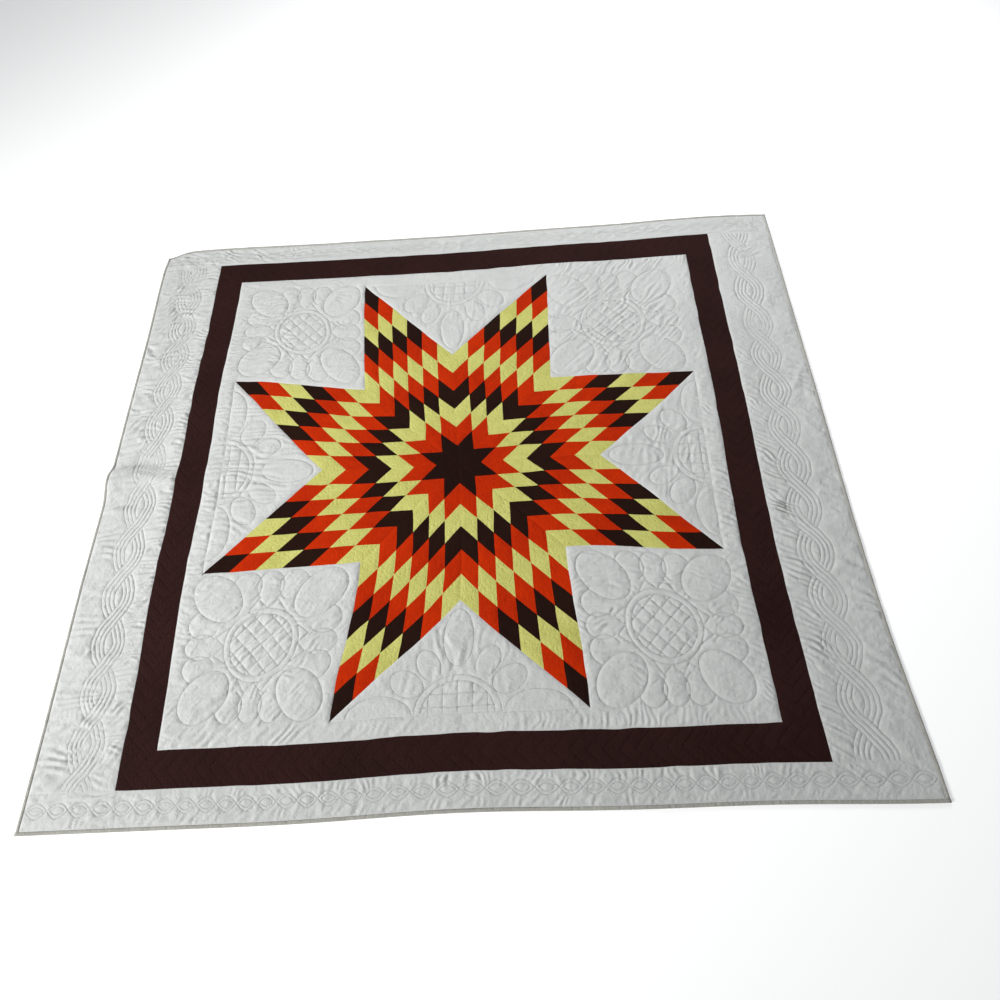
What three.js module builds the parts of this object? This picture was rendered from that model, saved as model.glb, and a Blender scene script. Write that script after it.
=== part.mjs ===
// Star quilt, laid out flat and face up.
// Millimetres, +Z up. X runs along the quilt's longer side, Y away from its near edge, and the
// origin is on the floor under the middle of the laid quilt.
//
// Every panel is first worked out as the maker drafts it, square and true, in a flat layout whose
// origin is the middle of the star. The layout is then laid: lay() shifts it sideways by the pulls
// in the table below, and crest() lifts it over the folds.

import * as THREE from 'three';
import { mergeVertices } from 'three/addons/utils/BufferGeometryUtils.js';

// Star: eight large diamonds, each pieced from six rows of six small ones
const ARM_COUNT = 8;
const DIAMONDS_PER_SIDE = 6;
const STRIP_WIDTH = 50.8;
const ARM_TURN = (2 * Math.PI) / ARM_COUNT;
const DIAMOND_SIDE = STRIP_WIDTH / Math.sin(ARM_TURN);
const ARM_SIDE = DIAMONDS_PER_SIDE * DIAMOND_SIDE;
const STAR_HALF = ARM_SIDE * (1 + Math.cos(ARM_TURN));
const TRIANGLE_HALF = STAR_HALF - ARM_SIDE;

// Strips around the star's square, from the inside out
const WHITE_STRIP = 50.8;
const BROWN_BAND = 92.1;
const SIDE_BORDER = 228.6;
const END_BORDER = 92.1;
const BINDING_WIDTH = 9;
const WHITE_HALF = STAR_HALF + WHITE_STRIP;
const BROWN_HALF = WHITE_HALF + BROWN_BAND;
const QUILT_HALF_X = BROWN_HALF + SIDE_BORDER;
const QUILT_HALF_Y = BROWN_HALF + END_BORDER;

// Thickness: the flattened cloth along the stitching, and how far the filling stands above it
const SHEET = 4;
const DIAMOND_PUFF = 2.5;
const MOTIF_PUFF = 4.5;
const SMALL_PUFF = 3;
const CABLE_PUFF = 4;
const INNER_RING = { share: 0.66, height: 0.75 };
const RIDGE_END = 0.45;
const BY_EYE = { shift: 1.2, perX: [0.71, 1.37], perY: [1.93, -0.59], start: [0, 2] };
const BINDING = { thickness: 5.6, underRound: 1.2, sideStart: 1.6, sideEnd: 3.8, topRound: 1.6 };

// Seams: panels stand this far apart, and long seams are divided at about this spacing. What lies
// within the clearance of a panel's edge counts as on it, and nearer corners than MERGE are one
const SEAM_GAP = 0.3;
const DIVISION = 76.2;
const FOLD_CELLS = [-DIVISION, 0, DIVISION];
const CLEARANCE = 1;
const MERGE = 1e-3;

// Quilted motif of a corner square, measured from its middle
const HUB_OUTER = 103;
const HUB_INNER = 86;
const HUB_CORNERS = 24;
const HATCH = { pitch: 34, channel: 5, reach: 61 };
const PETAL = { distance: 190, length: 74, width: 54, corners: 16 };
const SCALLOP = { distance: 178, spacing: 60, length: 23, width: 26, corners: 8 };
const BUD = { distance: 128, length: 17, width: 24, corners: 8 };

// Half motif of a side triangle, measured inwards from the middle of its long side
const HALF_HUB = { outer: 100, inner: 84, reach: 1.3, steps: 10 };
const POINT_PETAL = { distance: 202, length: 78, width: 38, corners: 16 };
const FLANK_PETAL = { inward: 60, along: 158, length: 50, width: 36, turn: 1.25, corners: 14 };
const FLANK_BUD = { inward: 128, along: 88, length: 27, width: 27, corners: 8 };

// Cable along each side border, and chain of ovals along each end border
const CABLE = { fromBrown: 100, height: 52, strand: 24, periods: 13, steps: 6, parting: 0.1 };
const CABLE_EYE = { length: 40, width: 20, corners: 8 };
const CHAIN = { fromBrown: 39, periods: 40, length: 25, width: 17, corners: 8 };

// Pulls: places where the quilt lies out of true, how far each reaches and how far it shifts
const PULLS = [
  { place: 'star point, right upper', x: 740, y: 300, reach: 320, dx: 4, dy: -13 },
  { place: 'star point, top right', x: 300, y: 740, reach: 320, dx: -10, dy: 17 },
  { place: 'star point, top left', x: -300, y: 740, reach: 320, dx: -48, dy: 11 },
  { place: 'star point, left upper', x: -740, y: 300, reach: 320, dx: -32, dy: 55 },
  { place: 'star point, left lower', x: -740, y: -300, reach: 320, dx: -27, dy: -14 },
  { place: 'star point, bottom left', x: -300, y: -740, reach: 320, dx: -50, dy: -4 },
  { place: 'star point, bottom right', x: 300, y: -740, reach: 320, dx: 16, dy: -6 },
  { place: 'star point, right lower', x: 740, y: -300, reach: 320, dx: -11, dy: -23 },
  { place: 'notch, top', x: 0, y: 430, reach: 320, dx: -31, dy: -14 },
  { place: 'notch, bottom left', x: -300, y: -300, reach: 320, dx: 28, dy: -13 },
  { place: 'notch, bottom', x: 0, y: -430, reach: 320, dx: -14, dy: -10 },
  { place: 'notch, bottom right', x: 300, y: -300, reach: 320, dx: -16, dy: 21 },
  { place: 'ring of the star, right', x: 270, y: 110, reach: 320, dx: -25, dy: -1 },
  { place: 'ring of the star, left upper', x: -270, y: 110, reach: 320, dx: -6, dy: -31 },
  { place: 'ring of the star, left lower', x: -270, y: -110, reach: 320, dx: -14, dy: 30 },
  { place: 'brown corner, top left', x: -880, y: 880, reach: 320, dx: -28, dy: 14 },
  { place: 'brown corner, bottom right', x: 880, y: -880, reach: 320, dx: -16, dy: 2 },
  { place: 'quilt corner, bottom right', x: 1110, y: -970, reach: 320, dx: 33, dy: -16 },
  { place: 'brown corner, top right', x: 880, y: 880, reach: 320, dx: 7, dy: 23 },
  { place: 'brown band, bottom', x: 0, y: -880, reach: 320, dx: -9, dy: 13 },
  { place: 'quilt corner, top left, tucked down', x: -1107, y: 971, reach: 58, dx: 4, dy: -27 },
];
const STRETCH = { xByX: -0.0035, xByY: 0.0133, yByX: -0.0021, yByY: -0.0022 };

// Folds: soft ridges, each from its outer end to its inner end, with the height at both
const FOLDS = [
  { place: 'left edge', x0: -1107, x1: -420, y: 4, high: 16, low: 1, width: 76, hollowTo: -737 },
];

// Colours
const BROWN = '#301c1a';
const ORANGE = '#c0300c';
const WHITE = '#d9dad8';
const CREAM = '#d2d0c4';

function cloth(color) {
  return new THREE.MeshStandardMaterial({ color, roughness: 0.85, metalness: 0 });
}

// Where a point of the true layout lies once the quilt is laid, before it is centred
function pulled(x, y) {
  const out = {
    x: x + STRETCH.xByX * x + STRETCH.xByY * y,
    y: y + STRETCH.yByX * x + STRETCH.yByY * y,
  };
  for (const pull of PULLS) {
    const far = ((x - pull.x) ** 2 + (y - pull.y) ** 2) / pull.reach ** 2;
    const share = Math.exp(-far);
    out.x += pull.dx * share;
    out.y += pull.dy * share;
  }
  return out;
}

// Middle of the laid quilt's box, from points along its edges
function middleOfLaidQuilt() {
  const box = new THREE.Box2();
  const steps = 96;
  for (let i = 0; i <= steps; i += 1) {
    const t = (2 * i) / steps - 1;
    for (const side of [-1, 1]) {
      const onEnd = pulled(t * QUILT_HALF_X, side * QUILT_HALF_Y);
      const onSide = pulled(side * QUILT_HALF_X, t * QUILT_HALF_Y);
      box.expandByPoint(new THREE.Vector2(onEnd.x, onEnd.y));
      box.expandByPoint(new THREE.Vector2(onSide.x, onSide.y));
    }
  }
  return box.getCenter(new THREE.Vector2());
}

const MIDDLE = middleOfLaidQuilt();

function lay(x, y) {
  const p = pulled(x, y);
  return new THREE.Vector2(p.x - MIDDLE.x, p.y - MIDDLE.y);
}

// Height of the folds at a point of the layout
function crest(x, y) {
  let z = 0;
  for (const fold of FOLDS) {
    const along = THREE.MathUtils.clamp((fold.x1 - x) / (fold.x1 - fold.x0), 0, 1);
    const across = THREE.MathUtils.clamp(Math.abs(y - fold.y) / fold.width, 0, 1);
    const height = along > 0 ? fold.low + (fold.high - fold.low) * along ** 2 : 0;
    z += height * Math.cos((across * Math.PI) / 2) ** 2;
  }
  return z;
}

// Height of the underside: it follows a fold near the edge and rests on the floor further in
function underside(x, y) {
  let share = 0;
  for (const fold of FOLDS) {
    share = THREE.MathUtils.clamp((fold.hollowTo - x) / (BROWN_HALF - STAR_HALF), 0, 1);
  }
  return crest(x, y) * share;
}

function laidPoint(x, y, height) {
  const p = lay(x, y);
  const z = height > 0 ? crest(x, y) + height : underside(x, y);
  return new THREE.Vector3(p.x, p.y, z);
}

function centreOf(outline) {
  const sum = outline.reduce((total, p) => [total[0] + p[0], total[1] + p[1]], [0, 0]);
  return [sum[0] / outline.length, sum[1] / outline.length];
}

// A puff has an outline on the stitching, an inner ring most of the way up and a top
function puff(outline, rise, inner = 0) {
  return { outline, rise, inner, centre: centreOf(outline) };
}

function oval(x, y, length, width, turn, corners) {
  return Array.from({ length: corners }, (_, i) => {
    const a = (2 * Math.PI * i) / corners;
    const u = length * Math.cos(a);
    const v = width * Math.sin(a);
    return [x + u * Math.cos(turn) - v * Math.sin(turn), y + u * Math.sin(turn) + v * Math.cos(turn)];
  });
}

// The quilting is done by eye, so each oval lies a little off its mark
function ovalPuff(x, y, size, turn, rise, inner) {
  const [dx, dy] = [0, 1].map((k) => (
    BY_EYE.shift * Math.sin(BY_EYE.perX[k] * x + BY_EYE.perY[k] * y + BY_EYE.start[k])));
  return puff(oval(x + dx, y + dy, size.length, size.width, turn, size.corners), rise, inner);
}

function mix(a, b, share) {
  return [a[0] + (b[0] - a[0]) * share, a[1] + (b[1] - a[1]) * share];
}

// A ridge runs between two rows of points, with its crest halfway between them; the crest of an
// open one stops short of both ends
function ridge(outer, inner, rise, closed = false) {
  const crestLine = outer.map((p, i) => mix(p, inner[i], 0.5));
  if (!closed) {
    const last = crestLine.length - 1;
    crestLine[0] = mix(crestLine[0], crestLine[1], RIDGE_END);
    crestLine[last] = mix(crestLine[last], crestLine[last - 1], RIDGE_END);
  }
  return { outer, inner, crestLine, rise, closed };
}

// Swaps the side that two faces share wherever that makes the thinner of them rounder
function evenOut(faces, points) {
  const roundness = (a, b, c) => {
    const [p, q, r] = [points[a], points[b], points[c]];
    const area = (q.x - p.x) * (r.y - p.y) - (q.y - p.y) * (r.x - p.x);
    return area / Math.max(p.distanceToSquared(q), q.distanceToSquared(r), r.distanceToSquared(p));
  };
  let swapped = true;
  while (swapped) {
    swapped = false;
    const owner = new Map();
    faces.forEach((face, index) => {
      face.forEach((a, k) => owner.set(`${a} ${face[(k + 1) % 3]}`, index));
    });
    const done = new Set();
    for (const [side, one] of owner) {
      const [a, b] = side.split(' ').map(Number);
      const two = owner.get(`${b} ${a}`);
      if (two !== undefined && !done.has(one) && !done.has(two)) {
        const c = faces[one].find((v) => v !== a && v !== b);
        const d = faces[two].find((v) => v !== a && v !== b);
        const before = Math.min(roundness(a, b, c), roundness(b, a, d));
        const after = Math.min(roundness(a, d, c), roundness(d, b, c));
        if (after > before) {
          [faces[one], faces[two]] = [[a, d, c], [d, b, c]];
          done.add(one).add(two);
          swapped = true;
        }
      }
    }
  }
}

// Collects a panel's triangles in layout coordinates and turns them into one closed mesh
class PanelShell {
  constructor() {
    this.corners = [];
  }

  face(a, b, c) {
    const area = (b[0] - a[0]) * (c[1] - a[1]) - (b[1] - a[1]) * (c[0] - a[0]);
    this.corners.push(a, ...(area > 0 ? [b, c] : [c, b]));
  }

  wall(a, b, height) {
    const [topA, topB] = [[a[0], a[1], height], [b[0], b[1], height]];
    const [lowA, lowB] = [[a[0], a[1], 0], [b[0], b[1], 0]];
    this.corners.push(lowA, lowB, topB, lowA, topB, topA);
  }

  // Flat cloth between an outline and the holes in it
  ground(outline, holes, height, down = false) {
    const laid = (ring) => ring.map((p) => lay(p[0], p[1]));
    const all = [outline, ...holes].flat().map((p) => [p[0], p[1], height]);
    const faces = THREE.ShapeUtils.triangulateShape(laid(outline), holes.map(laid));
    evenOut(faces, all.map((p) => lay(p[0], p[1])));
    for (const [a, b, c] of faces) {
      this.corners.push(all[a], ...(down ? [all[c], all[b]] : [all[b], all[c]]));
    }
  }

  puff({ outline, rise, inner, centre }, base) {
    const ring = outline.map((p) => [...mix(centre, p, inner), base + rise * INNER_RING.height]);
    const low = outline.map((p) => [p[0], p[1], base]);
    const top = [centre[0], centre[1], base + rise];
    const full = inner > 0 ? ring : low;
    for (let i = 0; i < outline.length; i += 1) {
      const j = (i + 1) % outline.length;
      if (inner > 0) {
        this.face(low[i], low[j], ring[j]);
        this.face(low[i], ring[j], ring[i]);
      }
      this.face(full[i], full[j], top);
    }
  }

  ridge({ outer, inner, crestLine, rise, closed }, base) {
    const at = (p, h) => [p[0], p[1], h];
    const last = closed ? outer.length : outer.length - 1;
    for (let i = 0; i < last; i += 1) {
      const j = (i + 1) % outer.length;
      for (const edge of [outer, inner]) {
        const [a, b] = [at(edge[i], base), at(edge[j], base)];
        const [c, d] = [at(crestLine[j], base + rise), at(crestLine[i], base + rise)];
        this.face(a, b, c);
        this.face(a, c, d);
      }
    }
    if (!closed) {
      for (const i of [0, outer.length - 1]) {
        this.face(at(outer[i], base), at(inner[i], base), at(crestLine[i], base + rise));
      }
    }
  }

  raise(item, base) {
    if (item.outline) {
      this.puff(item, base);
    } else {
      this.ridge(item, base);
    }
  }

  walls(outline, height) {
    outline.forEach((p, k) => this.wall(p, outline[(k + 1) % outline.length], height));
  }

  mesh(name, material) {
    const positions = this.corners.flatMap((p) => laidPoint(p[0], p[1], p[2]).toArray());
    const raw = new THREE.BufferGeometry();
    raw.setAttribute('position', new THREE.Float32BufferAttribute(positions, 3));
    const mesh = new THREE.Mesh(mergeVertices(raw, MERGE), material);
    mesh.name = name;
    return mesh;
  }
}

// Draws a convex outline in by half a seam gap and divides its sides, each by its own count
function seamed(corners, counts) {
  const inset = corners.map((p, i) => {
    const before = corners[(i + corners.length - 1) % corners.length];
    const after = corners[(i + 1) % corners.length];
    const u = new THREE.Vector2(p[0] - before[0], p[1] - before[1]).normalize();
    const v = new THREE.Vector2(after[0] - p[0], after[1] - p[1]).normalize();
    const turn = u.x * v.y - u.y * v.x;
    const d = SEAM_GAP / 2 / turn;
    return [p[0] + (v.x - u.x) * d, p[1] + (v.y - u.y) * d];
  });
  const outline = [];
  inset.forEach((p, i) => {
    const q = inset[(i + 1) % inset.length];
    for (let k = 0; k < counts[i]; k += 1) {
      const t = k / counts[i];
      outline.push([p[0] + (q[0] - p[0]) * t, p[1] + (q[1] - p[1]) * t]);
    }
  });
  return outline;
}

// Seam divisions along one axis, the same for every panel that meets there
function seamDivisions(quiltHalf) {
  const ends = [BROWN_HALF, quiltHalf - BINDING_WIDTH];
  const half = [WHITE_HALF, BROWN_HALF, quiltHalf - BINDING_WIDTH, quiltHalf];
  for (let at = DIVISION; at < TRIANGLE_HALF + CLEARANCE; at += DIVISION) {
    half.push(at);
  }
  for (let i = 1; i <= DIAMONDS_PER_SIDE; i += 1) {
    half.push(TRIANGLE_HALF + i * DIAMOND_SIDE);
  }
  const parts = Math.max(1, Math.round((ends[1] - ends[0]) / DIVISION));
  for (let i = 1; i < parts; i += 1) {
    half.push(ends[0] + ((ends[1] - ends[0]) * i) / parts);
  }
  return [0, ...half, ...half.map((v) => -v)].sort((a, b) => a - b);
}

const DIVISIONS_X = seamDivisions(QUILT_HALF_X);
const DIVISIONS_Y = seamDivisions(QUILT_HALF_Y);

function between(divisions, low, high) {
  return divisions.filter((v) => v > low + CLEARANCE && v < high - CLEARANCE);
}

// Outline of an upright or level piece, anticlockwise, with its seam divisions
function boxOutline(x0, x1, y0, y1) {
  const xs = [x0, ...between(DIVISIONS_X, x0, x1), x1];
  const ys = [y0, ...between(DIVISIONS_Y, y0, y1), y1];
  return [
    ...xs.slice(0, -1).map((x) => [x, y0]),
    ...ys.slice(0, -1).map((y) => [x1, y]),
    ...xs.slice(1).reverse().map((x) => [x, y1]),
    ...ys.slice(1).reverse().map((y) => [x0, y]),
  ];
}

function insideBox([x0, x1, y0, y1], outline) {
  const within = (v, low, high) => v > low + CLEARANCE && v < high - CLEARANCE;
  return outline.every((p) => within(p[0], x0, x1) && within(p[1], y0, y1));
}

// A strip of cloth, cut into cells at the given heights so that a fold can cross it
function strip(name, material, [x0, x1, y0, y1], raised = [], cuts = []) {
  const shell = new PanelShell();
  const g = SEAM_GAP / 2;
  const ends = [y0 + g, ...cuts, y1 - g];
  for (let i = 0; i + 1 < ends.length; i += 1) {
    const cell = [x0 + g, x1 - g, ends[i], ends[i + 1]];
    const outline = boxOutline(...cell);
    const here = raised.filter((item) => insideBox(cell, rimOf(item)));
    shell.ground(outline, here.map(rimOf), SHEET);
    here.forEach((item) => shell.raise(item, SHEET));
    shell.ground(outline, [], 0, true);
    outline.forEach((p, k) => {
      const q = outline[(k + 1) % outline.length];
      const onCut = p[1] === q[1] && cuts.includes(p[1]);
      if (!onCut) {
        shell.wall(p, q, SHEET);
      }
    });
  }
  return shell.mesh(name, material);
}

function rimOf(item) {
  return item.outline ?? [...item.outer, ...[...item.inner].reverse()];
}

// Star: eight points, each a large diamond of thirty-six small puffed ones
function starPoint(index) {
  const shell = new PanelShell();
  const reach = (turns) => [ARM_SIDE * Math.cos(turns * ARM_TURN), ARM_SIDE * Math.sin(turns * ARM_TURN)];
  const [a, b] = [reach(index), reach(index + 1)];
  const tip = [a[0] + b[0], a[1] + b[1]];
  const outline = seamed([[0, 0], a, tip, b], new Array(4).fill(DIAMONDS_PER_SIDE));
  const [c0, c1, c2, c3] = [0, 1, 2, 3].map((k) => outline[k * DIAMONDS_PER_SIDE]);
  const at = (i, j) => {
    const [s, t] = [i / DIAMONDS_PER_SIDE, j / DIAMONDS_PER_SIDE];
    return mix(mix(c0, c1, s), mix(c3, c2, s), t);
  };
  for (let i = 0; i < DIAMONDS_PER_SIDE; i += 1) {
    for (let j = 0; j < DIAMONDS_PER_SIDE; j += 1) {
      shell.raise(puff([at(i, j), at(i + 1, j), at(i + 1, j + 1), at(i, j + 1)], DIAMOND_PUFF), SHEET);
    }
  }
  shell.ground(outline, [], 0, true);
  shell.walls(outline, SHEET);
  return shell.mesh(`star_point_${index + 1}`, cloth(ORANGE));
}

// Corner squares: a cross-hatched hub in a ring, four petals, and scallops and buds between them
function cornerSquare(index) {
  const half = ARM_SIDE / 2;
  const middle = TRIANGLE_HALF + half;
  const cx = index === 0 || index === 3 ? middle : -middle;
  const cy = index < 2 ? middle : -middle;
  const corners = [[-1, -1], [1, -1], [1, 1], [-1, 1]].map(([u, v]) => [cx + u * half, cy + v * half]);
  const outline = seamed(corners, new Array(4).fill(DIAMONDS_PER_SIDE));
  const shell = new PanelShell();
  const items = [];
  for (let k = 0; k < 4; k += 1) {
    const side = (k * Math.PI) / 2;
    const corner = side + Math.PI / 4;
    const point = (distance, sideways, angle) => [
      cx + distance * Math.cos(angle) - sideways * Math.sin(angle),
      cy + distance * Math.sin(angle) + sideways * Math.cos(angle)];
    const petal = point(PETAL.distance, 0, corner);
    items.push(ovalPuff(...petal, PETAL, corner, MOTIF_PUFF, INNER_RING.share));
    for (const sideways of [-SCALLOP.spacing, 0, SCALLOP.spacing]) {
      const at = point(SCALLOP.distance, sideways, side);
      items.push(ovalPuff(...at, SCALLOP, side, SMALL_PUFF));
    }
    items.push(ovalPuff(...point(BUD.distance, 0, side), BUD, side, SMALL_PUFF));
  }
  const circle = (radius) => oval(cx, cy, radius, radius, 0, HUB_CORNERS);
  const hub = ridge(circle(HUB_OUTER), circle(HUB_INNER), SMALL_PUFF, true);
  const hatch = hatchSquares(cx, cy);
  shell.ground(outline, [...items.map(rimOf), hub.outer], SHEET);
  shell.ground(hub.inner, hatch.map(rimOf), SHEET);
  [...items, hub, ...hatch].forEach((item) => shell.raise(item, SHEET));
  shell.ground(outline, [], 0, true);
  shell.walls(outline, SHEET);
  return shell.mesh(`corner_square_${index + 1}`, cloth(WHITE));
}

function hatchSquares(cx, cy) {
  const squares = [];
  const count = Math.floor(HATCH.reach / HATCH.pitch);
  for (let i = -count; i <= count; i += 1) {
    for (let j = -count; j <= count; j += 1) {
      if (Math.hypot(i, j) * HATCH.pitch < HATCH.reach) {
        const x = cx + ((i - j) * HATCH.pitch) / Math.SQRT2;
        const y = cy + ((i + j) * HATCH.pitch) / Math.SQRT2;
        const half = (HATCH.pitch - HATCH.channel) / Math.SQRT2;
        squares.push(puff(oval(x, y, half, half, 0, 4), SMALL_PUFF));
      }
    }
  }
  return squares;
}

// Side triangles: the same motif cut through its middle by the triangle's long side
function sideTriangle(index) {
  const turn = (index * Math.PI) / 2;
  const place = (inward, along) => {
    const [x, y] = [STAR_HALF - inward, along];
    return [x * Math.cos(turn) - y * Math.sin(turn), x * Math.sin(turn) + y * Math.cos(turn)];
  };
  const corners = [place(TRIANGLE_HALF, 0), place(0, -TRIANGLE_HALF), place(0, TRIANGLE_HALF)];
  const along = Math.round((2 * TRIANGLE_HALF) / DIVISION);
  const outline = seamed(corners, [DIAMONDS_PER_SIDE, along, DIAMONDS_PER_SIDE]);
  const petal = (inward, side, size, tilt) => ovalPuff(
    ...place(inward, side), size, turn + Math.PI + tilt, MOTIF_PUFF, INNER_RING.share);
  const items = [petal(POINT_PETAL.distance, 0, POINT_PETAL, 0)];
  for (const s of [-1, 1]) {
    items.push(petal(FLANK_PETAL.inward, s * FLANK_PETAL.along, FLANK_PETAL, -s * FLANK_PETAL.turn));
    items.push(ovalPuff(...place(FLANK_BUD.inward, s * FLANK_BUD.along), FLANK_BUD, turn, SMALL_PUFF));
  }
  const arc = (radius) => Array.from({ length: HALF_HUB.steps + 1 }, (_, i) => {
    const a = HALF_HUB.reach * ((2 * i) / HALF_HUB.steps - 1);
    return place(radius * Math.cos(a), radius * Math.sin(a));
  });
  items.push(ridge(arc(HALF_HUB.outer), arc(HALF_HUB.inner), SMALL_PUFF));
  const shell = new PanelShell();
  shell.ground(outline, items.map(rimOf), SHEET);
  items.forEach((item) => shell.raise(item, SHEET));
  shell.ground(outline, [], 0, true);
  shell.walls(outline, SHEET);
  return shell.mesh(`side_triangle_${index + 1}`, cloth(WHITE));
}

// Cable of a side border: two strands that cross, with a puffed eye in each loop
function cable(side) {
  const x = side * (BROWN_HALF + CABLE.fromBrown);
  const period = (2 * BROWN_HALF) / CABLE.periods;
  const items = [];
  for (let i = 0; i < CABLE.periods; i += 1) {
    const start = -BROWN_HALF + i * period;
    for (const bow of [-1, 1]) {
      const curve = (height) => Array.from({ length: CABLE.steps + 1 }, (_, k) => {
        const t = CABLE.parting + (1 - 2 * CABLE.parting) * (k / CABLE.steps);
        return [x + bow * height * Math.sin(Math.PI * t), start + t * period];
      });
      items.push(ridge(curve(CABLE.height), curve(CABLE.height - CABLE.strand), CABLE_PUFF));
    }
    items.push(ovalPuff(x, start + period / 2, CABLE_EYE, Math.PI / 2, CABLE_PUFF));
  }
  return items;
}

// Chain of ovals of an end border
function chain(side) {
  const y = side * (BROWN_HALF + CHAIN.fromBrown);
  const reach = QUILT_HALF_X - BINDING_WIDTH;
  const period = (2 * reach) / CHAIN.periods;
  return Array.from({ length: CHAIN.periods }, (_, i) => (
    ovalPuff(-reach + (i + 0.5) * period, y, CHAIN, 0, CABLE_PUFF)));
}

// Binding: a narrow folded strip along one edge, rounded at its outer side
function binding(name, level, side) {
  const [edge, divisions] = level ? [QUILT_HALF_Y, DIVISIONS_X] : [QUILT_HALF_X, DIVISIONS_Y];
  const reach = level ? QUILT_HALF_X : QUILT_HALF_Y - BINDING_WIDTH - SEAM_GAP / 2;
  const inner = edge - BINDING_WIDTH + SEAM_GAP / 2;
  const { thickness, underRound, sideStart, sideEnd, topRound } = BINDING;
  const profile = [
    [inner, 0], [edge - underRound, 0], [edge, sideStart], [edge, sideEnd],
    [edge - topRound, thickness], [inner + underRound, thickness], [inner, SHEET],
  ];
  const spots = [-reach, ...between(divisions, -reach, reach), reach];
  const shell = new PanelShell();
  const at = ([out, height], along) => (level ? [along, side * out, height] : [side * out, along, height]);
  const push = (a, b, c) => shell.corners.push(...(level === side > 0 ? [a, c, b] : [a, b, c]));
  for (let i = 0; i + 1 < spots.length; i += 1) {
    profile.forEach((p, k) => {
      const q = profile[(k + 1) % profile.length];
      const [a, b, c, d] = [at(p, spots[i]), at(q, spots[i]), at(q, spots[i + 1]), at(p, spots[i + 1])];
      push(a, c, b);
      push(a, d, c);
    });
  }
  for (let k = 1; k + 1 < profile.length; k += 1) {
    const [p, q, r] = [profile[0], profile[k], profile[k + 1]];
    push(at(p, -reach), at(q, -reach), at(r, -reach));
    push(at(p, reach), at(r, reach), at(q, reach));
  }
  return shell.mesh(name, cloth(CREAM));
}

// Four strips around a square: the side ones stand between the level ones
function frame(name, material, inner, outerX, outerY, extras) {
  return [
    strip(`${name}_left`, material, [-outerX, -inner, -inner, inner], extras.left, FOLD_CELLS),
    strip(`${name}_right`, material, [inner, outerX, -inner, inner], extras.right),
    strip(`${name}_near`, material, [-outerX, outerX, -outerY, -inner], extras.near),
    strip(`${name}_far`, material, [-outerX, outerX, inner, outerY], extras.far),
  ];
}

const quilt = new THREE.Group();
for (let i = 0; i < ARM_COUNT; i += 1) {
  quilt.add(starPoint(i));
}
for (let i = 0; i < 4; i += 1) {
  quilt.add(cornerSquare(i), sideTriangle(i));
}
const plain = { left: [], right: [], near: [], far: [] };
const quilted = { left: cable(-1), right: cable(1), near: chain(-1), far: chain(1) };
const [clothEndX, clothEndY] = [QUILT_HALF_X - BINDING_WIDTH, QUILT_HALF_Y - BINDING_WIDTH];
quilt.add(...frame('white_strip', cloth(WHITE), STAR_HALF, WHITE_HALF, WHITE_HALF, plain));
quilt.add(...frame('brown_band', cloth(BROWN), WHITE_HALF, BROWN_HALF, BROWN_HALF, plain));
quilt.add(...frame('outer_border', cloth(WHITE), BROWN_HALF, clothEndX, clothEndY, quilted));
quilt.add(binding('binding_left', false, -1), binding('binding_right', false, 1));
quilt.add(binding('binding_near', true, -1), binding('binding_far', true, 1));

export default quilt;
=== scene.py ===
# Star quilt, laid out flat and face up.
# The flat layout is in millimetres with its origin at the middle of the star, as the maker drafts
# it. Finished meshes are in metres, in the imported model's frame.

import math

import bmesh
import bpy
import numpy as np
from mathutils import Matrix, Vector
from mathutils.kdtree import KDTree


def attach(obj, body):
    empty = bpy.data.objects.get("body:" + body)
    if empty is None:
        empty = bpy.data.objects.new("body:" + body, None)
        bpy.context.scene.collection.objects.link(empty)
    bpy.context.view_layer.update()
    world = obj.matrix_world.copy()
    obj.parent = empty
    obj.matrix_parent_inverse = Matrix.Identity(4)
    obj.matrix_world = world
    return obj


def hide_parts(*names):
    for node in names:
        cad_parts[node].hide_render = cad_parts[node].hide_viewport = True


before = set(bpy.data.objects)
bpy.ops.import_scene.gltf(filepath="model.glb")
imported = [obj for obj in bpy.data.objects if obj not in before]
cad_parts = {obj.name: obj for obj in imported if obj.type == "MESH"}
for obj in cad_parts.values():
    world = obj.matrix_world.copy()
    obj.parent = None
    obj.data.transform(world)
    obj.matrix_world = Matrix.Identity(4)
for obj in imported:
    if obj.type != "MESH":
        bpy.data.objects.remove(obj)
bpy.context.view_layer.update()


# The star's eight points
# Each is a large diamond pieced from six strips of six small cotton diamonds, sewn right sides
# together and pressed, so the seams sink a little and each patch stands up between them.

MM = 1000
ARM_COUNT = 8
ROWS = 6
STRIP_WIDTH = 50.8
ARM_TURN = 2 * math.pi / ARM_COUNT
DIAMOND_SIDE = STRIP_WIDTH / math.sin(ARM_TURN)
ARM_SIDE = ROWS * DIAMOND_SIDE
STAR_HALF = ARM_SIDE * (1 + math.cos(ARM_TURN))
TRIANGLE_HALF = STAR_HALF - ARM_SIDE
WHITE_STRIP = 50.8
BROWN_STRIP = 92.1
SIDE_BORDER = 228.6
END_BORDER = 92.1
WHITE_HALF = STAR_HALF + WHITE_STRIP
BROWN_HALF = WHITE_HALF + BROWN_STRIP
QUILT_HALF_X = BROWN_HALF + SIDE_BORDER
QUILT_HALF_Y = BROWN_HALF + END_BORDER

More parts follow.
